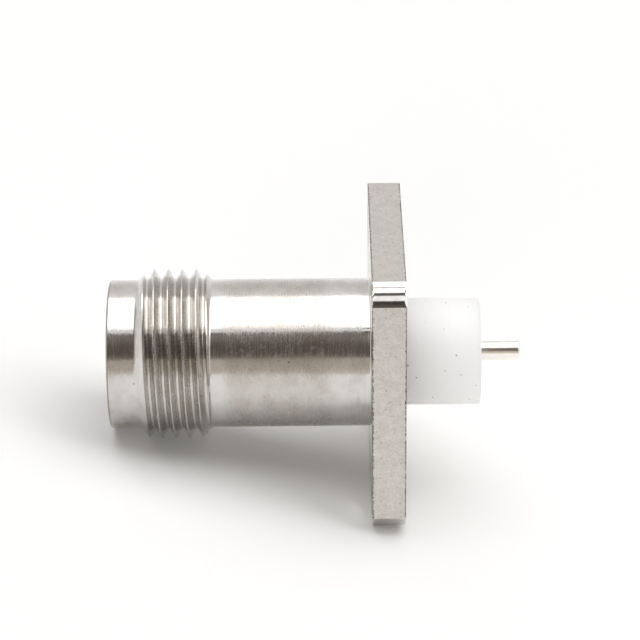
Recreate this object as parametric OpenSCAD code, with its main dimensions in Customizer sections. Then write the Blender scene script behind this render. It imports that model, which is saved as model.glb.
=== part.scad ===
// Threaded coaxial panel socket: a body turned in one piece from square bar, with a coupling
// thread, a four-hole flange and a bored mouth, a white PTFE insulator that fills it and sticks
// out behind as a tail, and a slotted centre contact that ends in a solder pin.
// X runs along the connector, from the mouth at -X to the solder pin at +X, and Z is up.
// The origin is on the axis, on the rear face of the flange, which sits against the panel.

/* [Shell] */
// Outside diameter of the barrel, and of the collar ahead of the thread
shell_d = 9.7; // [9.3:0.05:9.85]
// Length of the plain barrel between the flange and the thread
barrel_len = 10.3; // [7:0.1:16]
// Length of the plain collar at the mouth
collar_len = 1.9; // [1:0.1:4]
// Chamfer on the turned outer edges
edge_break = 0.1; // [0.05:0.05:0.3]

/* [Coupling thread] */
// Diameter over the crests
thread_d = 11.1; // [11:0.05:11.6]
// Distance between crests, 28 to the inch
thread_pitch = 0.907; // [0.85:0.001:1]
// Depth of the groove below the crests
thread_depth = 0.6; // [0.45:0.01:0.62]
// Length of the threaded land, with the bevels at its ends
thread_len = 4.8; // [3.5:0.1:6.5]
// Angle about the axis at which the groove crosses the front end of the land
thread_phase = 195; // [0:1:359]

/* [Flange] */
// Side of the square bar that the body is turned from
flange_w = 17.5; // [15.8:0.1:20]
// Thickness
flange_t = 2.15; // [1.5:0.05:4]
// How far the four corners are turned down
corner_cut = 0.82; // [0.4:0.02:1.2]
// Distance from the flange's sides in to the centres of the screw holes
hole_inset = 2.4; // [2.2:0.1:2.6]
// Diameter of the screw holes
hole_d = 3.2; // [2.5:0.1:3.6]

/* [Mouth] */
// Diameter of the bore that takes the plug
mouth_d = 8.1; // [7.6:0.05:8.4]
// Depth of that bore, down to the seat for the plug
mouth_depth = 8.4; // [7.6:0.1:9.4]
// Chamfer at its entry
mouth_chamfer = 0.35; // [0.1:0.05:0.5]

/* [Insulator] */
// Diameter where it is pressed into the body
seat_d = 7.4; // [7.3:0.05:8]
// Diameter of the tail behind the flange
tail_d = 7; // [6.4:0.1:7]
// Length of the tail
tail_len = 5; // [3:0.1:15]
// Diameter of the nose that stands in the mouth
nose_d = 4.7; // [4.2:0.05:5.2]
// Distance from the mouth's edge in to the face of the nose
nose_setback = 3.2; // [2.4:0.1:4.2]
// Diameter of the neck inside the lip
neck_d = 6; // [5.5:0.1:6.3]
// Length of the lip that stops the insulator
lip_len = 0.8; // [0.5:0.1:1.5]

/* [Centre contact] */
// Outside diameter
contact_d = 2.2; // [2.1:0.05:2.3]
// Diameter of the socket that takes the plug's pin
socket_d = 1.4; // [1.3:0.02:1.5]
// Depth of the socket
socket_depth = 4.6; // [4.2:0.1:6]
// Width of the slots between the spring fingers
slot_w = 0.2; // [0.1:0.02:0.24]
// Length of the slots
slot_len = 3.8; // [2.5:0.1:4]
// Diameter over the barb that grips the insulator
barb_d = 2.6; // [2.4:0.05:3]
// Diameter of the shank that goes through the insulator's rear wall
shank_d = 1.65; // [1.6:0.01:1.9]
// Diameter of the solder pin
pin_d = 1.27; // [1:0.01:1.3]
// Length of the solder pin beyond the tail
pin_len = 2.7; // [1.5:0.1:8]

/* [Hidden] */
$fn = 96;

// How far a cutter runs past the face that it opens
overrun = 0.5;
// Places along the axis, from the flange to the mouth
flange_front = -flange_t;
thread_rear = flange_front - barrel_len;
thread_front = thread_rear - thread_len;
mouth_x = thread_front - collar_len;
seat_x = mouth_x + mouth_depth;
lip_rear = seat_x + lip_len;
nose_x = mouth_x + nose_setback;
// Radii of the turned surfaces
shell_r = shell_d / 2;
crest_r = thread_d / 2;
root_r = crest_r - thread_depth;
mouth_r = mouth_d / 2;
insulator_r = seat_d / 2;
tail_r = tail_d / 2;
nose_r = nose_d / 2;
neck_r = neck_d / 2;
contact_r = contact_d / 2;
socket_r = socket_d / 2;
shank_r = shank_d / 2;
pin_r = pin_d / 2;
corner_r = flange_w / sqrt(2) - corner_cut;
// The land's end bevels are at 45 degrees
bevel_len = crest_r - shell_r;
// Distance between neighbouring screw holes
hole_spacing = flange_w - 2 * hole_inset;

// The groove has flanks at 30 degrees, and leaves a narrow flat on the crests
flank_angle = 30;
crest_flat = thread_pitch / 16;
groove_root_w = thread_pitch - crest_flat - 2 * thread_depth * tan(flank_angle);
// The cutter stands above the crests, so that it is open there
cutter_rise = 0.1;
groove_top_r = crest_r + cutter_rise;
groove_top_w = groove_root_w + 2 * (groove_top_r - root_r) * tan(flank_angle);
turn_steps = 40;
groove_turns = thread_len / thread_pitch + 2;
groove_steps = ceil(groove_turns * turn_steps);

// The contact stands a little inside the face of the nose, and its shoulder seats on the
// rear wall of the insulator
contact_recess = 0.15;
contact_front = nose_x + contact_recess;
rear_wall = 1.5;
shoulder_x = tail_len - rear_wall;
barb_len = 0.8;
barb_x = (seat_x + shoulder_x) / 2;
socket_chamfer = 0.15;
pin_chamfer = 0.12;
slot_count = 4;
plated_nickel = "#c3bfb9";
ptfe_white = "#f4f3f0";
plated_contact = "#d8c79a";

// A solid turned about the X axis, from an outline of [radius, x] points
module turned(outline) {
    rotate([0, 90, 0])
        rotate_extrude()
            polygon(outline);
}

// The four corners of the groove's section at one step along the helix
function groove_section(step) =
    let (
        turns = step / turn_steps,
        x = thread_front - thread_pitch + turns * thread_pitch,
        angle = thread_phase + 360 * (turns - 1),
        section = [
            [-groove_root_w / 2, root_r],
            [groove_root_w / 2, root_r],
            [groove_top_w / 2, groove_top_r],
            [-groove_top_w / 2, groove_top_r]
        ]
    )
    [for (p = section) [x + p[0], p[1] * cos(angle), p[1] * sin(angle)]];

// Right-hand cutter for the thread, which runs off both ends of the land
module thread_groove() {
    points = [for (step = [0:groove_steps]) each groove_section(step)];
    sides = [
        for (step = [0:groove_steps - 1], k = [0:3])
            let (
                a = 4 * step + k,
                b = 4 * step + (k + 1) % 4
            )
            each [[a, a + 4, b], [b, a + 4, b + 4]]
    ];
    last = 4 * groove_steps;
    ends = [[0, 1, 2, 3], [last + 3, last + 2, last + 1, last]];
    polyhedron(points, concat(sides, ends));
}

// The bar's flat sides, with the corners turned round and their edges broken
module flange() {
    intersection() {
        translate([flange_front, -flange_w / 2, -flange_w / 2])
            cube([flange_t, flange_w, flange_w]);
        turned([
            [0, flange_front],
            [corner_r - edge_break, flange_front],
            [corner_r, flange_front + edge_break],
            [corner_r, -edge_break],
            [corner_r - edge_break, 0],
            [0, 0]
        ]);
    }
}

// Barrel, land for the thread and collar, before boring
module shell_blank() {
    turned([
        [0, flange_front + flange_t / 2],
        [shell_r, flange_front + flange_t / 2],
        [shell_r, thread_rear],
        [crest_r, thread_rear - bevel_len],
        [crest_r, thread_front + bevel_len],
        [shell_r, thread_front],
        [shell_r, mouth_x + edge_break],
        [shell_r - edge_break, mouth_x],
        [0, mouth_x]
    ]);
}

// Everything bored out along the axis: mouth, lip and the seat of the insulator
module shell_bore() {
    turned([
        [0, mouth_x - overrun],
        [mouth_r + mouth_chamfer, mouth_x - overrun],
        [mouth_r + mouth_chamfer, mouth_x],
        [mouth_r, mouth_x + mouth_chamfer],
        [mouth_r, seat_x],
        [neck_r, seat_x],
        [neck_r, lip_rear],
        [insulator_r, lip_rear],
        [insulator_r, overrun],
        [0, overrun]
    ]);
}

module screw_holes() {
    for (y = [-1, 1], z = [-1, 1])
        translate([flange_front - overrun, y * hole_spacing / 2, z * hole_spacing / 2])
            rotate([0, 90, 0])
                cylinder(d = hole_d, h = flange_t + 2 * overrun);
}

module body() {
    color(plated_nickel)
        difference() {
            union() {
                flange();
                difference() {
                    shell_blank();
                    thread_groove();
                }
            }
            shell_bore();
            screw_holes();
        }
}

// Outline of the centre contact: spring fingers, barb, shoulder, shank and solder pin
function contact_outline() = [
    [0, contact_front],
    [contact_r, contact_front],
    [contact_r, barb_x - barb_len],
    [barb_d / 2, barb_x - barb_len],
    [contact_r, barb_x],
    [contact_r, shoulder_x],
    [shank_r, shoulder_x],
    [shank_r, tail_len],
    [pin_r, tail_len],
    [pin_r, tail_len + pin_len - pin_chamfer],
    [pin_r - pin_chamfer, tail_len + pin_len],
    [0, tail_len + pin_len]
];

module insulator() {
    color(ptfe_white)
        difference() {
            turned([
                [0, nose_x],
                [nose_r - edge_break, nose_x],
                [nose_r, nose_x + edge_break],
                [nose_r, seat_x],
                [neck_r, seat_x],
                [neck_r, lip_rear],
                [insulator_r, lip_rear],
                [insulator_r, 0],
                [tail_r, 0],
                [tail_r, tail_len - edge_break],
                [tail_r - edge_break, tail_len],
                [0, tail_len]
            ]);
            turned(contact_outline());
            turned([
                [0, nose_x - overrun],
                [contact_r, nose_x - overrun],
                [contact_r, contact_front],
                [0, contact_front]
            ]);
        }
}

module finger_slots() {
    slot_front = contact_front - overrun;
    for (k = [0:slot_count / 2 - 1])
        rotate([k * 360 / slot_count, 0, 0])
            translate([slot_front, -contact_d, -slot_w / 2])
                cube([slot_len + overrun, 2 * contact_d, slot_w]);
}

module centre_contact() {
    color(plated_contact)
        difference() {
            turned(contact_outline());
            turned([
                [0, contact_front - overrun],
                [socket_r + socket_chamfer, contact_front - overrun],
                [socket_r + socket_chamfer, contact_front],
                [socket_r, contact_front + socket_chamfer],
                [socket_r, contact_front + socket_depth],
                [0, contact_front + socket_depth]
            ]);
            finger_slots();
        }
}

body();
insulator();
centre_contact();
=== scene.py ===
import math

import bmesh
import bpy
from mathutils import Matrix, Vector, noise


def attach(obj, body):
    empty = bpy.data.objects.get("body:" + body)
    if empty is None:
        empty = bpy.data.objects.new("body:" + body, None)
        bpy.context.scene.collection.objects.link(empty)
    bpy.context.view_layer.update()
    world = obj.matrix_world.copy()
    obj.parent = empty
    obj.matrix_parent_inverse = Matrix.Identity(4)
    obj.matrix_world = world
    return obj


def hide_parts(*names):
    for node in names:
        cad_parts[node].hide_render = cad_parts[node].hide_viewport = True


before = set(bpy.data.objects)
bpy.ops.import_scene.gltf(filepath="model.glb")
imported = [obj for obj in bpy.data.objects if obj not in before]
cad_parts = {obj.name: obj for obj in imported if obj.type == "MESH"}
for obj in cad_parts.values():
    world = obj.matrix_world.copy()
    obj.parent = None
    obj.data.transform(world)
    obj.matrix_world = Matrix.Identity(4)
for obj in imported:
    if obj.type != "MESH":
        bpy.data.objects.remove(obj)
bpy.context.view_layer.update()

# Body: brass turned in one piece from square bar and plated with nickel all over. The lathe
# made the collar, the barrel, the bored mouth and the faces of the flange, and chased the
# coupling thread; the sides of the flange still have the drawn skin of the bar.
MM = 0.001
shell_r = 4.85
mouth_x = -19.15
mouth_r = 4.05
mouth_chamfer = 0.35
edge_break = 0.1
thread_front = -17.25
thread_rear = -12.45
flange_front = -2.15
seat_x = -10.75
lip_rear = -9.95
neck_r = 3.0
insulator_r = 3.7


def eased(corners, steps=6, hold=0.03):
    """Points (x, r) along a turned profile, each corner (x, r, radius) rounded as a tool does.

    A row of points is held close to both ends of each straight, so that straights shade straight.
    """
    rounds = []
    for k, (x, r, radius) in enumerate(corners):
        here = Vector((x, r))
        if radius == 0 or k in (0, len(corners) - 1):
            rounds.append([here])
            continue
        to_last = (Vector(corners[k - 1][:2]) - here).normalized()
        to_next = (Vector(corners[k + 1][:2]) - here).normalized()
        half = to_last.angle(to_next) / 2
        centre = here + (to_last + to_next).normalized() * (radius / math.sin(half))
        first = here + to_last * (radius / math.tan(half)) - centre
        last = here + to_next * (radius / math.tan(half)) - centre
        turn = first.angle_signed(last)
        rounds.append([
            centre + Matrix.Rotation(-turn * s / steps, 2) @ first for s in range(steps + 1)
        ])
    points = []
    for arc in rounds:
        if points and (arc[0] - points[-1]).length > 3 * hold:
            along = (arc[0] - points[-1]).normalized() * hold
            points += [points[-1] + along, arc[0] - along]
        points += arc
    return [tuple(p) for p in points]


def new_vertex(bm, x, r, angle):
    """A vertex at x along the axis, in mm, and r out from it at an angle about it."""
    return bm.verts.new((x * MM, r * math.cos(angle) * MM, r * math.sin(angle) * MM))


def turn_up(bm, profile, segments, material=0):
    """Turns a profile of (x, r) points about the X axis and returns its rings of vertices.

    Outer surfaces run towards +X and bores towards -X, so that the faces look outwards.
    """
    rings = []
    for x, r in profile:
        if r < 1e-6:
            rings.append([bm.verts.new((x * MM, 0, 0))] * segments)
        else:
            turns = [2 * math.pi * s / segments for s in range(segments)]
            rings.append([new_vertex(bm, x, r, turn) for turn in turns])
    for a, b in zip(rings, rings[1:]):
        for s in range(segments):
            t = (s + 1) % segments
            corners = list(dict.fromkeys((a[s], a[t], b[t], b[s])))
            bm.faces.new(corners).material_index = material
    return rings


def put_in_scene(name, data):
    """An object made of a mesh, lamp or camera, in the scene."""
    thing = bpy.data.objects.new(name, data)
    bpy.context.scene.collection.objects.link(thing)
    return thing


def finish_mesh(bm, name, materials):
    """Makes the piece's object: smooth faces, with crisp edges where they meet at a steep angle."""
    steep = math.radians(32)
    mesh = bpy.data.meshes.new(name)
    bm.to_mesh(mesh)
    bm.free()
    for material in materials:
        mesh.materials.append(material)
    mesh.shade_smooth()
    mesh.set_sharp_from_angle(angle=steep)
    return put_in_scene(name, mesh)


body = bmesh.new()
TURNED, DRAWN, FACED = 0, 1, 2

# The thread's land rises from the collar and from the barrel on bevels with eased feet
root_r = 4.95
crest_r = 5.55
bevel = 0.7
foot_run = 1
front_foot = eased([
    (mouth_x + foot_run, shell_r, 0),
    (thread_front, shell_r, 0.5),
    (thread_front + bevel, crest_r, 0),
], steps=8)
rear_foot = eased([
    (thread_rear - bevel, crest_r, 0),
    (thread_rear, shell_r, 0.2),
    (thread_rear + foot_run, shell_r, 0),
], steps=8)
land_top = front_foot + rear_foot

# Bore, mouth, collar and barrel, as one profile from the flange's rear face round to its front
# face; it follows the feet of the land until it meets the thread's roots, and runs under them,
# hidden at the core's radius
sunk = 0.002
core_r = 4.7
core_inset = 0.2
face_start = 0.4
meet_r = root_r - sunk
rise = meet_r - shell_r
feet_from = mouth_x + foot_run + 0.1
feet_to = thread_rear + foot_run - 0.1
under_front = [(x, r) for x, r in front_foot if r < meet_r and x > feet_from]
under_rear = [(x, r) for x, r in rear_foot if r < meet_r and x < feet_to]
shell = eased([
    (0.0, insulator_r, 0),
    (lip_rear, insulator_r, 0.03),
    (lip_rear, neck_r, 0.03),
    (seat_x, neck_r, 0.04),
    (seat_x, mouth_r, 0.1),
    (mouth_x + mouth_chamfer, mouth_r, 0.05),
    (mouth_x, mouth_r + mouth_chamfer, 0.04),
    (mouth_x, shell_r - edge_break, 0.04),
    (mouth_x + edge_break, shell_r, 0.04),
    (mouth_x + foot_run, shell_r, 0),
])
shell += under_front
shell += [
    (thread_front + rise, meet_r),
    (thread_front + core_inset, core_r),
    (thread_rear - core_inset, core_r),
    (thread_rear - rise, meet_r),
]
shell += under_rear
shell += eased([
    (thread_rear + foot_run, shell_r, 0),
    (flange_front, shell_r, 0.08),
    (flange_front, shell_r + face_start, 0),
])
shell_rings = turn_up(body, shell, segments=256, material=TURNED)

# Coupling thread: a right-hand 60 degree groove with a rounded root, chased 28 to the inch, and
# slightly torn along its crests; the rows follow the helix, so each crest is one clean line
pitch = 0.907
phase = math.radians(195)
flank = math.radians(60)
root_half = 0.0785
root_round = 0.09
root_flat = root_half - root_round * math.tan(flank / 2)
crest_edge = root_half + (crest_r - root_r) / math.tan(flank)
# Rows of points from the middle of the groove: its flat, its round, the flank and the crest
root_rows = [root_flat + root_round * math.sin(math.radians(a)) for a in (0, 15, 30, 45, 60)]
flank_rows = [0.15, 0.23, 0.31, 0.39]
crest_rows = [crest_edge - 0.003, crest_edge + 0.003, 0.446]
groove_half = [0, root_flat - 0.01] + root_rows + flank_rows + crest_rows
across = [-v for v in reversed(groove_half[1:])] + groove_half


def groove_r(v):
    """Radius of the thread at a distance v along the axis from the middle of its groove."""
    v = abs(v)
    if v < root_flat:
        return root_r
    if v < root_flat + root_round * math.sin(flank):
        return root_r + root_round - math.sqrt(root_round**2 - (v - root_flat) ** 2)
    return min(root_r + (v - root_half) * math.tan(flank), crest_r)


def land_r(x):
    """Radius of the land and its bevels at x, sinking under the shell towards their feet."""
    for (xa, ra), (xb, rb) in zip(land_top, land_top[1:]):
        if xa <= x <= xb:
            r = ra + (rb - ra) * (x - xa) / (xb - xa)
            return r if r > meet_r else r - sunk - (meet_r - r) / 2
    return core_r


columns = 240
groove_turns = 8
lead_turns = 2
run_off = 0.3
torn_depth = 0.016
tears_per_column = 0.37
rows = []
for k in range(groove_turns):
    for v in across:
        row = []
        for c in range(columns):
            x = thread_front + pitch * (k - lead_turns + c / columns) + v
            torn = noise.noise(Vector((k * columns + c, 0, 0)) * tears_per_column) * torn_depth
            r = groove_r(v) + (torn if abs(v) > crest_edge else 0)
            angle = phase + 2 * math.pi * c / columns
            row.append(new_vertex(body, x, min(r, land_r(x)), angle))
        rows.append(row)
# The last column of each turn joins the first column of the next
for k, (a, b) in enumerate(zip(rows, rows[1:])):
    for c in range(columns):
        if c + 1 < columns:
            corners = [a[c], a[c + 1], b[c + 1], b[c]]
        elif k + len(across) + 1 < len(rows):
            corners = [a[c], rows[k + len(across)][0], rows[k + len(across) + 1][0], b[c]]
        else:
            continue
        if thread_front - run_off < a[c].co.x / MM < thread_rear + run_off:
            body.faces.new(corners).material_index = TURNED
bmesh.ops.delete(body, geom=[v for v in body.verts if not v.link_faces], context="VERTS")

# Flange: the bar's four flat sides, with its corners turned round; facing left a ragged burr
# along the edges of the sides
flange_half = 8.75
corner_cut = 0.82
corner_r = flange_half * math.sqrt(2) - corner_cut
corner_start = math.acos(flange_half / corner_r)
flat_half = corner_r * math.sin(corner_start)
flat_steps = 120
corner_steps = 20
# Points round the flange, each with the surface that starts there
outline = []
for side in range(4):
    quarter = Matrix.Rotation(math.radians(90 * side), 2)
    for s in range(flat_steps):
        flat = Vector((flange_half, flat_half * (2 * s / flat_steps - 1)))
        outline.append((quarter @ flat, DRAWN))
    for s in range(corner_steps):
        angle = corner_start + (math.pi / 2 - 2 * corner_start) * s / corner_steps
        corner = Vector((math.cos(angle), math.sin(angle)))
        outline.append((quarter @ corner * corner_r, TURNED))


def flange_loop(inset, depth, ragged, face_x, inwards, seed):
    """A loop round the flange, inset from its outline, at a depth in from one of its faces.

    A ragged loop wanders as the burr does.
    """
    bumps_per_mm = 2.3
    burr_mean = 0.75
    burr_swing = 0.9
    loop = []
    for p, _ in outline:
        burr = 1.0
        if ragged:
            bump = noise.noise(Vector((p.x * bumps_per_mm, p.y * bumps_per_mm, seed)))
            burr = burr_mean + burr_swing * bump
        near = p - p.normalized() * inset * burr
        x = face_x + inwards * depth * burr
        loop.append(body.verts.new((x * MM, near.x * MM, near.y * MM)))
    return loop


# Inset and depth of the loops over an edge, and whether the burr is on them
edge_rows = [
    (0.35, 0, False),
    (0.085, 0, True),
    (0.025, 0.02, True),
    (0, 0.075, True),
    (0, 0.14, False),
]
loops = [flange_loop(*row, face_x=flange_front, inwards=1, seed=1.7) for row in edge_rows]
loops.append(flange_loop(0, 0, False, face_x=flange_front / 2, inwards=1, seed=0))
loops += [flange_loop(*row, face_x=0, inwards=-1, seed=5.2) for row in reversed(edge_rows)]
for n, (a, b) in enumerate(zip(loops, loops[1:])):
    for k, (_, surface) in enumerate(outline):
        j = (k + 1) % len(outline)
        face = body.faces.new([a[k], a[j], b[j], b[k]])
        face.material_index = FACED if n in (0, len(loops) - 2) else surface

# Screw holes: four, drilled through the flange and lightly broken at both edges
hole_r = 1.6
hole_at = 6.35
hole_break = 0.08
hole_land = 0.3
hole = eased([
    (0.0, hole_r + hole_land, 0),
    (0.0, hole_r + hole_break, 0.02),
    (-hole_break, hole_r, 0.02),
    (flange_front + hole_break, hole_r, 0.02),
    (flange_front, hole_r + hole_break, 0.02),
    (flange_front, hole_r + hole_land, 0),
], steps=3)
front_edges = [loops[0], shell_rings[-1]]
rear_edges = [loops[-1], shell_rings[0]]
for y in (-hole_at, hole_at):
    for z in (-hole_at, hole_at):
        rings = turn_up(body, hole, segments=64, material=FACED)
        for ring in rings:
            bmesh.ops.translate(body, verts=ring, vec=Vector((0, y * MM, z * MM)))
        front_edges.append(rings[-1])
        rear_edges.append(rings[0])
# The flange's two faces fill what is left between its edge, the holes and the shell
for rims, facing in ((front_edges, -1), (rear_edges, 1)):
    edges = [body.edges.get(ends) for ring in rims for ends in zip(ring, ring[1:] + ring[:1])]
    filled = bmesh.ops.triangle_fill(body, use_beauty=True, edges=edges)["geom"]
    for face in [g for g in filled if isinstance(g, bmesh.types.BMFace)]:
        face.material_index = FACED
        face.normal_update()
        if face.normal.x * facing < 0:
            face.normal_flip()


def linear(colour):
    """Linear RGBA of an sRGB hex colour."""
    channels = [int(colour[k:k + 2], 16) / 255 for k in (1, 3, 5)]
    return [c / 12.92 if c <= 0.04045 else ((c + 0.055) / 1.055) ** 2.4 for c in channels] + [1.0]


def start_material(name):
    """A new material, with its node tree and its shader."""
    material = bpy.data.materials.new(name)
    material.use_nodes = True
    return material, material.node_tree, material.node_tree.nodes["Principled BSDF"]


def feed(tree, node, inputs):
    """Links each input of a node that is given as a socket, and sets any other."""
    for name, value in inputs.items():
        if isinstance(value, bpy.types.NodeSocket):
            tree.links.new(value, node.inputs[name])
        else:
            node.inputs[name].default_value = value


def add_node(tree, kind, inputs, **settings):
    """Adds a node with its settings and its inputs."""
    node = tree.nodes.new(kind)
    for name, value in settings.items():
        setattr(node, name, value)
    feed(tree, node, inputs)
    return node


# Turned brass under bright nickel plate: a mirror with the tool's fine rings in it, clean beside
# the thread and the flange, where nothing rubs, and scuffed to a broken satin along the open
# barrel.
turned_nickel, tree, shader = start_material("turned_nickel_plate")
place = add_node(tree, "ShaderNodeTexCoord", {}).outputs["Object"]
axes = add_node(tree, "ShaderNodeSeparateXYZ", {"Vector": place}).outputs
# The surface unrolled flat, in mm along the axis and around it, for marks with a direction
away = add_node(tree, "ShaderNodeMath", {0: axes["Y"], 1: -1.0}, operation="MULTIPLY")
around = add_node(tree, "ShaderNodeMath", {0: axes["Z"], 1: away.outputs[0]}, operation="ARCTAN2")
around_mm = add_node(
    tree, "ShaderNodeMath", {0: around.outputs[0], 1: shell_r}, operation="MULTIPLY")
along = add_node(tree, "ShaderNodeMath", {0: axes["X"], 1: 1 / MM}, operation="MULTIPLY")
along_mm = along.outputs[0]
unrolled = add_node(
    tree, "ShaderNodeCombineXYZ", {"X": along_mm, "Y": around_mm.outputs[0]}).outputs[0]
# From the mouth to the flange: how far the plate is scuffed, how far the tool's rings show, and its
# tone, with a painted dark reflection round the edge of the mouth, a painted highlight on the
# thread's front bevel and painted shade over the thread
along_share = add_node(
    tree, "ShaderNodeMapRange", {"Value": along_mm, "From Min": mouth_x, "From Max": 0.0})
scuffed, ringed, tone = [
    add_node(tree, "ShaderNodeValToRGB", {"Fac": along_share.outputs["Result"]}) for _ in range(3)
]
for x, scuffs, rings, colour in (
    (-19.14, 0.3, 1.0, "#d0ccc8"),
    # Painted dark reflection round the edge of the mouth
    (-19.12, 0.6, 1.0, "#8c8178"),
    (-19.06, 0.6, 1.0, "#8c8178"),
    (-19.03, 0.3, 1.0, "#d0ccc8"),
    (-17.3, 0.25, 0.8, "#d4d1ce"),
    # Painted highlight on the thread's front bevel
    (-16.9, 0.3, 0.7, "#dad8d5"),
    # Painted shade over the thread
    (-16.6, 0.4, 0.7, "#cdcac6"),
    (-12.9, 0.4, 0.7, "#cdcac6"),
    (-12.4, 0.1, 0.7, "#d7d5d2"),
    (-11.8, 0.2, 0.8, "#d7d5d2"),
    (-11.2, 0.9, 1.0, "#cac6c1"),
    (-5.3, 1.0, 1.0, "#cac6c1"),
    (-4.5, 0.35, 0.9, "#d6d3cf"),
    (-2.6, 0.1, 1.0, "#d7d5d2"),
    (-2.3, 0.02, 0.05, "#d7d5d2"),
):
    for ramp, shade in (
        (scuffed, [scuffs] * 3 + [1.0]),
        (ringed, [rings] * 3 + [1.0]),
        (tone, linear(colour)),
    ):
        stops = ramp.color_ramp.elements
        stops.new(1 - x / mouth_x).color = shade
        stops[0].color = stops[1].color
        stops[-1].color = shade
# Rings left by the tool: about 0.03 mm apart; drawn 0.08 mm apart so that they show
rings_per_mm = (13.0, 0.6, 1.0)
ring_at = add_node(
    tree, "ShaderNodeVectorMath", {0: unrolled, 1: rings_per_mm}, operation="MULTIPLY")
rings = add_node(tree, "ShaderNodeTexNoise", {
    "Vector": ring_at.outputs[0], "Scale": 1.0, "Detail": 3.0, "Roughness": 0.6,
}).outputs["Fac"]
ring_cut = add_node(tree, "ShaderNodeMapRange", {
    "Value": rings, "From Min": 0.42, "From Max": 0.7, "To Min": 0.08, "To Max": 0.28,
})
ring_dull = add_node(tree, "ShaderNodeMath", {
    0: ring_cut.outputs["Result"], 1: ringed.outputs["Color"],
}, operation="MULTIPLY")
# Scuffing: short flecks of satin about 0.05 mm wide that cover half of the rubbed plate
flecks_per_mm = (20.0, 8.0, 1.0)
fleck_at = add_node(
    tree, "ShaderNodeVectorMath", {0: unrolled, 1: flecks_per_mm}, operation="MULTIPLY")
flecks = add_node(tree, "ShaderNodeTexNoise", {
    "Vector": fleck_at.outputs[0], "Scale": 1.0, "Detail": 3.0, "Roughness": 0.6,
})
marks = add_node(tree, "ShaderNodeMapRange", {
    "Value": flecks.outputs["Fac"], "From Min": 0.4, "From Max": 0.62,
}).outputs["Result"]
# Scratches from handling: 0.02 mm wide; drawn 0.06 mm wide so that they show
scratches_per_mm = 16.0
for slant, length in ((28.0, 0.8), (-40.0, 0.6), (72.0, 0.5)):
    slanted = add_node(tree, "ShaderNodeVectorRotate", {
        "Vector": unrolled, "Angle": math.radians(slant),
    }, rotation_type="Z_AXIS")
    scratch_at = add_node(tree, "ShaderNodeVectorMath", {
        0: slanted.outputs[0], 1: (scratches_per_mm, 1 / length, 1.0),
    }, operation="MULTIPLY")
    scratch = add_node(tree, "ShaderNodeTexNoise", {
        "Vector": scratch_at.outputs[0], "Scale": 1.0, "Detail": 1.0, "Roughness": 0.5,
    })
    cut = add_node(tree, "ShaderNodeMapRange", {
        "Value": scratch.outputs["Fac"], "From Min": 0.66, "From Max": 0.71, "To Max": 2.8,
    })
    marks = add_node(tree, "ShaderNodeMath", {
        0: marks, 1: cut.outputs["Result"],
    }, operation="MAXIMUM").outputs[0]
plate_rough = 0.05
scuff_rough = 0.11
dulled = add_node(
    tree, "ShaderNodeMath", {0: marks, 1: scuffed.outputs["Color"]}, operation="MULTIPLY")
worn = add_node(tree, "ShaderNodeMath", {
    0: dulled.outputs[0], 1: scuff_rough, 2: ring_dull.outputs[0],
}, operation="MULTIPLY_ADD")
roughness = add_node(
    tree, "ShaderNodeMath", {0: worn.outputs[0], 1: plate_rough}, operation="ADD")
# Stains: faint, about a millimetre across
stains = add_node(
    tree, "ShaderNodeTexNoise", {"Vector": place, "Scale": 0.9 / MM, "Detail": 3.0})
stain_tone = add_node(tree, "ShaderNodeValToRGB", {"Fac": stains.outputs["Fac"]})
for stop, at, colour in zip(
    stain_tone.color_ramp.elements, (0.35, 0.55), ("#f3f1ee", "#ffffff")
):
    stop.position = at
    stop.color = linear(colour)
stained = add_node(tree, "ShaderNodeMix", {
    0: 1.0, 6: tone.outputs["Color"], 7: stain_tone.outputs["Color"],
}, data_type="RGBA", blend_type="MULTIPLY")
# Dark pits: about 0.1 mm across, in one of eight cells of 0.7 mm
pit_cells = add_node(tree, "ShaderNodeTexVoronoi", {"Vector": place, "Scale": 1.5 / MM})
pit_pick = add_node(tree, "ShaderNodeSeparateColor", {"Color": pit_cells.outputs["Color"]})
pit_here = add_node(
    tree, "ShaderNodeMath", {0: pit_pick.outputs["Red"], 1: 0.87}, operation="GREATER_THAN")
pit_near = add_node(tree, "ShaderNodeMapRange", {
    "Value": pit_cells.outputs["Distance"], "From Min": 0.1, "From Max": 0.06,
})
pit = add_node(tree, "ShaderNodeMath", {
    0: pit_here.outputs[0], 1: pit_near.outputs["Result"],
}, operation="MULTIPLY")
plate = add_node(tree, "ShaderNodeMix", {
    0: pit.outputs[0], 6: stained.outputs[2], 7: linear("#5a524c"),
}, data_type="RGBA")
ring_bump = add_node(
    tree, "ShaderNodeBump", {"Height": rings, "Strength": 0.2, "Distance": 0.006 * MM})
# Chatter of the tool: shallow waves a third of a millimetre long, which make reflected edges
# wander; the short corners of the flange are free of it
waves = add_node(
    tree, "ShaderNodeTexNoise", {"Vector": place, "Scale": 3.0 / MM, "Detail": 1.0})
chatter = add_node(tree, "ShaderNodeBump", {
    "Height": waves.outputs["Fac"],
    "Strength": ringed.outputs["Color"],
    "Distance": 0.003 * MM,
    "Normal": ring_bump.outputs["Normal"],
})
ring_way = add_node(tree, "ShaderNodeTangent", {}, direction_type="RADIAL", axis="X")
feed(tree, shader, {
    "Base Color": plate.outputs[2],
    "Roughness": roughness.outputs[0],
    "Normal": chatter.outputs["Normal"],
    "Tangent": ring_way.outputs["Tangent"],
    "Metallic": 1.0,
    "Anisotropic": 0.6,
    "Anisotropic Rotation": 0.25,
})

# Drawn bar skin under the plate: satin, with a fine grain, cloudy patches and small pits, and
# painted shade, dark and dull, along the ragged edges that face left.
drawn_nickel, tree, shader = start_material("drawn_bar_nickel_plate")
place = add_node(tree, "ShaderNodeTexCoord", {}).outputs["Object"]
axes = add_node(tree, "ShaderNodeSeparateXYZ", {"Vector": place}).outputs
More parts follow.
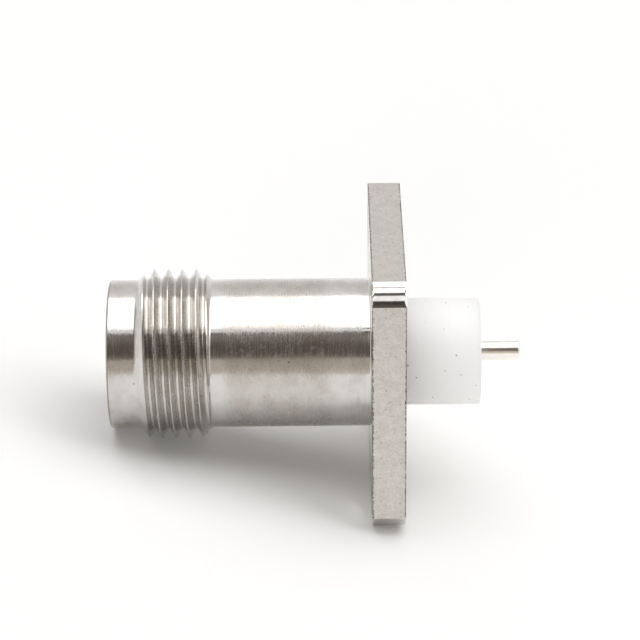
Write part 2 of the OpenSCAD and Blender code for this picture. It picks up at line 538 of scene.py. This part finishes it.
# Grain of the skin: 0.02 mm; drawn 0.15 mm across so that it shows, in patches of 0.6 mm
grain = add_node(tree, "ShaderNodeTexNoise", {
    "Vector": place, "Scale": 6.5 / MM, "Detail": 4.0, "Roughness": 0.75,
})
patches = add_node(tree, "ShaderNodeTexNoise", {
    "Vector": place, "Scale": 1.6 / MM, "Detail": 3.0, "Roughness": 0.6,
})
clouded = add_node(
    tree, "ShaderNodeMix", {0: 0.35, 2: grain.outputs["Fac"], 3: patches.outputs["Fac"]})
grain_tone = add_node(tree, "ShaderNodeValToRGB", {"Fac": clouded.outputs[0]})
for stop, at, colour in zip(
    grain_tone.color_ramp.elements, (0.32, 0.62), ("#b9b3ae", "#d9d4cf")
):
    stop.position = at
    stop.color = linear(colour)
# Painted shade along the edges, where the burr stands: 0.03 to 0.13 mm wide, its border broken
# every tenth of a millimetre
shifted = add_node(
    tree, "ShaderNodeMath", {0: axes["X"], 1: -flange_front / 2 * MM}, operation="ADD")
from_middle = add_node(tree, "ShaderNodeMath", {0: shifted.outputs[0]}, operation="ABSOLUTE")
broken = add_node(tree, "ShaderNodeTexNoise", {
    "Vector": place, "Scale": 9.0 / MM, "Detail": 3.0, "Roughness": 0.75,
})
reach = add_node(tree, "ShaderNodeMapRange", {
    "Value": broken.outputs["Fac"],
    "From Min": 0.42,
    "From Max": 0.62,
    "To Min": 1.05 * MM,
    "To Max": 0.94 * MM,
})
past = add_node(tree, "ShaderNodeMath", {
    0: from_middle.outputs[0], 1: reach.outputs["Result"],
}, operation="SUBTRACT")
edge_shade = add_node(tree, "ShaderNodeMapRange", {
    "Value": past.outputs[0], "From Min": 0.0, "From Max": 0.03 * MM,
}).outputs["Result"]
# Pits: about 0.1 mm across, in one of four cells of a third of a millimetre
pit_cells = add_node(tree, "ShaderNodeTexVoronoi", {"Vector": place, "Scale": 3.2 / MM})
pit_pick = add_node(tree, "ShaderNodeSeparateColor", {"Color": pit_cells.outputs["Color"]})
pit_here = add_node(
    tree, "ShaderNodeMath", {0: pit_pick.outputs["Red"], 1: 0.76}, operation="GREATER_THAN")
pit_near = add_node(tree, "ShaderNodeMapRange", {
    "Value": pit_cells.outputs["Distance"], "From Min": 0.22, "From Max": 0.1,
})
pit = add_node(tree, "ShaderNodeMath", {
    0: pit_here.outputs[0], 1: pit_near.outputs["Result"],
}, operation="MULTIPLY")
pitted = add_node(tree, "ShaderNodeMix", {
    0: pit.outputs[0], 6: grain_tone.outputs["Color"], 7: linear("#a09896"),
}, data_type="RGBA")
# Painted shade: along the edges the skin turns dark brown, rougher and less metallic
skin = add_node(tree, "ShaderNodeMix", {
    0: edge_shade, 6: pitted.outputs[2], 7: linear("#62554d"),
}, data_type="RGBA")
edge_shade_rough = add_node(
    tree, "ShaderNodeMapRange", {"Value": edge_shade, "To Min": 0.38, "To Max": 0.7})
edge_shade_metal = add_node(
    tree, "ShaderNodeMapRange", {"Value": edge_shade, "To Min": 1.0, "To Max": 0.4})
grain_bump = add_node(tree, "ShaderNodeBump", {
    "Height": clouded.outputs[0], "Strength": 0.5, "Distance": 0.03 * MM,
})
feed(tree, shader, {
    "Base Color": skin.outputs[2],
    "Roughness": edge_shade_rough.outputs["Result"],
    "Metallic": edge_shade_metal.outputs["Result"],
    "Normal": grain_bump.outputs["Normal"],
})

# Faced brass under the plate: fine rings centred on the axis, which fan the light out.
faced_nickel, tree, shader = start_material("faced_nickel_plate")
place = add_node(tree, "ShaderNodeTexCoord", {}).outputs["Object"]
flat_way = add_node(
    tree, "ShaderNodeVectorMath", {0: place, 1: (0.0, 1 / MM, 1 / MM)}, operation="MULTIPLY")
out_from_axis = add_node(
    tree, "ShaderNodeVectorMath", {0: flat_way.outputs[0]}, operation="LENGTH")
# Facing rings: the feed is about 0.05 mm a turn; drawn 0.15 mm apart so that they show
facing_rings = add_node(tree, "ShaderNodeTexNoise", {
    "W": out_from_axis.outputs["Value"], "Scale": 7.0, "Detail": 3.0, "Roughness": 0.6,
}, noise_dimensions="1D").outputs["Fac"]
facing_bump = add_node(
    tree, "ShaderNodeBump", {"Height": facing_rings, "Strength": 0.3, "Distance": 0.03 * MM})
facing_tone = add_node(tree, "ShaderNodeValToRGB", {"Fac": facing_rings})
for stop, at, colour in zip(
    facing_tone.color_ramp.elements, (0.25, 0.6), ("#ccc6c0", "#d7d3ce")
):
    stop.position = at
    stop.color = linear(colour)
ring_way = add_node(tree, "ShaderNodeTangent", {}, direction_type="RADIAL", axis="X")
feed(tree, shader, {
    "Base Color": facing_tone.outputs["Color"],
    "Normal": facing_bump.outputs["Normal"],
    "Tangent": ring_way.outputs["Tangent"],
    "Metallic": 1.0,
    "Roughness": 0.22,
    "Anisotropic": 0.8,
    "Anisotropic Rotation": 0.25,
})

turned_body = finish_mesh(body, "turned_body", [turned_nickel, drawn_nickel, faced_nickel])
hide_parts("body")
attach(turned_body, "root")

# Insulator: one white PTFE turning, pressed into the body from behind against its lip. Its nose
# stands in the mouth and its tail sticks out of the flange.
nose_x = -15.95
nose_r = 2.35
nose_break = 0.12
tail_end = 5.0
tail_r = 3.5
contact_r = 1.1
shank_r = 0.825
shoulder_x = 3.5
barb_x = -3.625
barb_r = 1.3
barb_len = 0.8
insulator = bmesh.new()
turn_up(insulator, eased([
    (nose_x, contact_r, 0.03),
    (nose_x, nose_r - nose_break, 0.06),
    (nose_x + nose_break, nose_r, 0.06),
    (seat_x, nose_r, 0.1),
    (seat_x, neck_r, 0.02),
    (lip_rear, neck_r, 0.02),
    (lip_rear, insulator_r, 0.03),
    (0.0, insulator_r, 0.03),
    (0.0, tail_r, 0.03),
    (tail_end, tail_r, 0.12),
    (tail_end, shank_r, 0.03),
    (shoulder_x, shank_r, 0.02),
    (shoulder_x, contact_r, 0.02),
    (barb_x, contact_r, 0.02),
    (barb_x - barb_len, barb_r, 0.02),
    (barb_x - barb_len, contact_r, 0.02),
    (nose_x, contact_r, 0.0),
]), segments=192)
bmesh.ops.remove_doubles(insulator, verts=insulator.verts, dist=1e-7)

# White PTFE, turned: waxy and slightly see-through, with a soft shine and a few dark specks.
turned_ptfe, tree, shader = start_material("turned_white_ptfe")
place = add_node(tree, "ShaderNodeTexCoord", {}).outputs["Object"]
axes = add_node(tree, "ShaderNodeSeparateXYZ", {"Vector": place}).outputs
# Specks: up to 0.1 mm across, one to a cell of 0.8 mm, of which few reach the surface
specks = add_node(tree, "ShaderNodeTexVoronoi", {"Vector": place, "Scale": 1.3 / MM})
speck_tone = add_node(tree, "ShaderNodeValToRGB", {"Fac": specks.outputs["Distance"]})
for stop, at, colour in zip(
    speck_tone.color_ramp.elements, (0.045, 0.08), ("#8f8880", "#fefaf6")
):
    stop.position = at
    stop.color = linear(colour)
# Knife marks: about 0.05 mm apart; drawn 0.2 mm apart so that they show
knife_at = add_node(tree, "ShaderNodeMath", {0: axes["X"], 1: 5.0 / MM}, operation="MULTIPLY")
knife = add_node(tree, "ShaderNodeTexNoise", {
    "W": knife_at.outputs[0], "Scale": 1.0, "Detail": 2.0,
}, noise_dimensions="1D")
knife_bump = add_node(tree, "ShaderNodeBump", {
    "Height": knife.outputs["Fac"], "Strength": 0.15, "Distance": 0.04 * MM,
})
feed(tree, shader, {
    "Base Color": speck_tone.outputs["Color"],
    "Normal": knife_bump.outputs["Normal"],
    "Roughness": 0.38,
    "IOR": 1.36,
    "Subsurface Weight": 1.0,
    "Subsurface Radius": (1.0, 0.95, 0.9),
    "Subsurface Scale": 3.0 * MM,
})

ptfe_insulator = finish_mesh(insulator, "ptfe_insulator", [turned_ptfe])
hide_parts("insulator")
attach(ptfe_insulator, "root")

# Centre contact: a plated brass turning. Four sawn fingers grip the plug's pin, a barb holds it
# in the insulator, and its rear end is the solder pin.
contact_front = -15.8
socket_r = 0.7
socket_end = -11.2
socket_chamfer = 0.15
slot_half = 0.1
slot_end = -12.0
pin_r = 0.635
pin_end = 7.7
pin_break = 0.12
contact = bmesh.new()
turn_up(contact, eased([
    (socket_end, 0.0, 0),
    (socket_end, socket_r, 0.02),
    (slot_end, socket_r, 0.0),
    (slot_end, contact_r, 0.0),
    (barb_x - barb_len, contact_r, 0.02),
    (barb_x - barb_len, barb_r, 0.02),
    (barb_x, contact_r, 0.02),
    (shoulder_x, contact_r, 0.02),
    (shoulder_x, shank_r, 0.02),
    (tail_end, shank_r, 0.03),
    (tail_end, pin_r, 0.04),
    (pin_end - pin_break, pin_r, 0.06),
    (pin_end, pin_r - pin_break, 0.06),
    (pin_end, 0.0, 0),
]), segments=96)
finger = eased([
    (slot_end, contact_r, 0),
    (slot_end, socket_r, 0),
    (contact_front + socket_chamfer, socket_r, 0.04),
    (contact_front, socket_r + socket_chamfer, 0.04),
    (contact_front, contact_r, 0.06),
    (slot_end, contact_r, 0),
])[:-1]
finger_steps = 12
for k in range(4):
    cuts = []
    for s in range(finger_steps + 1):
        cut = []
        for x, r in finger:
            kerf = math.asin(slot_half / r)
            spread = (math.pi / 2 - 2 * kerf) * s / finger_steps
            cut.append(new_vertex(contact, x, r, math.pi / 2 * k + kerf + spread))
        cuts.append(cut)
    for a, b in zip(cuts, cuts[1:]):
        for n in range(len(finger)):
            m = (n + 1) % len(finger)
            contact.faces.new([a[n], b[n], b[m], a[m]])
    contact.faces.new(cuts[0])
    contact.faces.new(cuts[-1][::-1])

# Silver plate on turned brass: pale, warm and bright, with rings too fine to see that stretch
# what it reflects along the pin.
plated_silver, tree, shader = start_material("turned_silver_plate")
place = add_node(tree, "ShaderNodeTexCoord", {}).outputs["Object"]
# Tarnish: a faint yellow in patches of 0.4 mm
tarnish = add_node(
    tree, "ShaderNodeTexNoise", {"Vector": place, "Scale": 2.5 / MM, "Detail": 3.0})
tarnish_tone = add_node(tree, "ShaderNodeValToRGB", {"Fac": tarnish.outputs["Fac"]})
for stop, at, colour in zip(
    tarnish_tone.color_ramp.elements, (0.3, 0.65), ("#f6f1e7", "#fbf8f3")
):
    stop.position = at
    stop.color = linear(colour)
ring_way = add_node(tree, "ShaderNodeTangent", {}, direction_type="RADIAL", axis="X")
feed(tree, shader, {
    "Base Color": tarnish_tone.outputs["Color"],
    "Tangent": ring_way.outputs["Tangent"],
    "Metallic": 1.0,
    "Roughness": 0.24,
    "Anisotropic": 0.8,
    "Anisotropic Rotation": 0.25,
})

plated_contact = finish_mesh(contact, "plated_contact", [plated_silver])
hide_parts("centre_contact")
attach(plated_contact, "root")

# Table: a sheet of white paper. The connector lies on it on the flange's edge and the first full
# crest of the thread, so the sheet slopes along the connector's axis.
slope = 0.2207
table_half = 600 * MM
table_mesh = bpy.data.meshes.new("white_table")
table_mesh.from_pydata(
    [
        (x, y, (flange_front * MM - x) * slope - flange_half * MM)
        for x, y in (
            (-table_half, -table_half),
            (table_half, -table_half),
            (table_half, table_half),
            (-table_half, table_half),
        )
    ],
    [],
    [(0, 1, 2, 3)],
)
white_table = put_in_scene("white_table", table_mesh)


def seen_by_eye(tree):
    """1 where the camera, metal or glass sees a surface, and 0 for the light that it gives."""
    path = add_node(tree, "ShaderNodeLightPath", {})
    share = 0.0
    for ray in ("Is Camera Ray", "Is Glossy Ray", "Is Transmission Ray"):
        share = add_node(tree, "ShaderNodeMath", {
            0: path.outputs[ray], 1: share,
        }, operation="ADD", use_clamp=True).outputs[0]
    return share


# White paper: matte, with a faint tooth. It is white where no shadow falls, also as the metal sees
# it, and painted shade darkens it to a beige grey towards the front of the table.
paper, tree, shader = start_material("white_paper")
place = add_node(tree, "ShaderNodeTexCoord", {}).outputs["Object"]
axes = add_node(tree, "ShaderNodeSeparateXYZ", {"Vector": place}).outputs
# Tooth of the paper: fibres of 0.02 mm; drawn a third of a millimetre apart so that they show
tooth = add_node(
    tree, "ShaderNodeTexNoise", {"Vector": place, "Scale": 3.0 / MM, "Detail": 3.0})
tooth_tone = add_node(tree, "ShaderNodeValToRGB", {"Fac": tooth.outputs["Fac"]})
for stop, colour in zip(tooth_tone.color_ramp.elements, ("#f6f6f5", "#fafafa")):
    stop.color = linear(colour)
# Painted shade: from 60 to 100 mm in front of the connector the paper darkens to beige grey
painted_falloff = add_node(tree, "ShaderNodeMapRange", {
    "Value": axes["Y"], "From Min": -60 * MM, "From Max": -100 * MM,
}, interpolation_type="SMOOTHSTEP")
paper_tone_with_painted_falloff = add_node(tree, "ShaderNodeMix", {
    0: painted_falloff.outputs["Result"], 6: tooth_tone.outputs["Color"], 7: linear("#c9c0b6"),
}, data_type="RGBA")
glow = add_node(
    tree, "ShaderNodeMath", {0: seen_by_eye(tree), 1: 0.065}, operation="MULTIPLY")
feed(tree, shader, {
    "Base Color": paper_tone_with_painted_falloff.outputs[2],
    "Emission Color": paper_tone_with_painted_falloff.outputs[2],
    "Emission Strength": glow.outputs[0],
    "Roughness": 0.9,
    "Specular IOR Level": 0.2,
})
table_mesh.materials.append(paper)

# Studio light, placed in metres: a softbox overhead, a little behind the connector and to its
# right, with two dimmer bars along its front edge, a fill lamp at the right, a lamp low at the
# front that is kept out of the metal, and a room that is pale but for the front.
light_z = 1.5
softbox_x = 0.5
softbox_w = 2.6
lamp_w = 0.6
# Each bar reaches between two angles above the front, seen from the connector
for name, near, far, glare in (
    ("softbox", 68.8, 124.4, 2.0),
    ("softbox_lip", 65.0, 68.1, 1.9),
    ("softbox_rim", 59.5, 63.0, 1.35),
):
    y_near = -light_z / math.tan(math.radians(near))
    y_far = -light_z / math.tan(math.radians(far))
    lamp = bpy.data.lights.new(name, "AREA")
    lamp.shape = "RECTANGLE"
    lamp.size = softbox_w
    lamp.size_y = y_far - y_near
    lamp.energy = glare * math.pi * lamp.size * lamp.size_y
    holder = put_in_scene(name, lamp)
    holder.location = (softbox_x, (y_near + y_far) / 2, light_z)
for name, glare, stand, in_metal in (
    ("fill_lamp", 1.4, (0.94, -0.31, 0.76), True),
    ("front_lamp", 7.4, (-0.31, -1.15, 0.05), False),
):
    lamp = bpy.data.lights.new(name, "AREA")
    lamp.shape = "SQUARE"
    lamp.size = lamp_w
    lamp.energy = glare * math.pi * lamp_w**2
    holder = put_in_scene(name, lamp)
    holder.location = stand
    holder.rotation_euler = (-holder.location).to_track_quat("-Z", "Y").to_euler()
    holder.visible_glossy = in_metal

room = bpy.data.worlds.new("pale_room")
room.use_nodes = True
bpy.context.scene.world = room
tree = room.node_tree
place = add_node(tree, "ShaderNodeTexCoord", {}).outputs["Generated"]
axes = add_node(tree, "ShaderNodeSeparateXYZ", {"Vector": place}).outputs
forward = add_node(tree, "ShaderNodeMath", {0: axes["Y"], 1: -1.0}, operation="MULTIPLY")
height = add_node(
    tree, "ShaderNodeMath", {0: axes["Z"], 1: forward.outputs[0]}, operation="ARCTAN2")
height_share = add_node(tree, "ShaderNodeMapRange", {
    "Value": height.outputs[0], "From Min": -math.pi, "From Max": math.pi,
})
room_tone = add_node(tree, "ShaderNodeValToRGB", {"Fac": height_share.outputs["Result"]})
# Its tones by the angle up from the front: the floor below 0, the front up to overhead at 90,
# and the back down to 180
stops = room_tone.color_ramp.elements
for angle, colour in (
    (-150, "#fafafa"), (-30, "#fafafa"), (-8, "#c6bcb0"), (17.5, "#c0b8ae"), (19.5, "#766c66"),
    (26, "#665c57"), (38, "#635955"), (46, "#7b716c"), (54, "#8a817c"), (57, "#564d4a"),
    (60, "#3a3230"), (64, "#3a3230"), (65.5, "#8c8986"), (118, "#8c8986"), (126.5, "#ffffff"),
    (140, "#efeeec"), (158, "#e2e1df"), (172, "#f2f2f2"),
):
    stops.new((angle + 180) / 360).color = linear(colour)
stops[0].color = linear("#fafafa")
stops[-1].color = linear("#fafafa")
# Far to the left and right its walls are pale
sideways = add_node(tree, "ShaderNodeMath", {0: axes["X"]}, operation="ABSOLUTE")
aside = add_node(tree, "ShaderNodeMapRange", {
    "Value": sideways.outputs[0], "From Min": 0.55, "From Max": 0.9,
}, interpolation_type="SMOOTHSTEP")
room_light = add_node(tree, "ShaderNodeMix", {
    0: aside.outputs["Result"], 6: room_tone.outputs["Color"], 7: linear("#f8f7f5"),
}, data_type="RGBA")
# The camera and the metal see these tones; the light that the room gives is dimmer
strength = add_node(
    tree, "ShaderNodeMapRange", {"Value": seen_by_eye(tree), "To Min": 0.4, "To Max": 1.0})
feed(tree, tree.nodes["Background"], {
    "Color": room_light.outputs[2], "Strength": strength.outputs["Result"],
})

# Camera: almost square to the connector's axis and 27 degrees above it, with a long lens, aimed
# at the barrel.
lens_data = bpy.data.cameras.new("camera")
lens_data.lens = 157.93
lens_data.sensor_width = 36.0
lens_data.sensor_fit = "HORIZONTAL"
lens_data.clip_start = 0.01
aim_x = -5.4
aim_rise = 2.11
distance = 184.5
azimuth, elevation, roll = (math.radians(a) for a in (0.12, 26.69, -0.61))
back = Vector((
    math.sin(azimuth) * math.cos(elevation),
    -math.cos(azimuth) * math.cos(elevation),
    math.sin(elevation),
))
right = Vector((math.cos(azimuth), math.sin(azimuth), 0))
upward = back.cross(right)
turn = Matrix((right, upward, back)).transposed() @ Matrix.Rotation(roll, 3, "Z")
stand = (Vector((aim_x, 0, 0)) + upward * aim_rise + back * distance) * MM
camera = put_in_scene("camera", lens_data)
camera.matrix_world = Matrix.Translation(stand) @ turn.to_4x4()
bpy.context.scene.camera = camera
bpy.context.scene.view_settings.view_transform = "Standard"
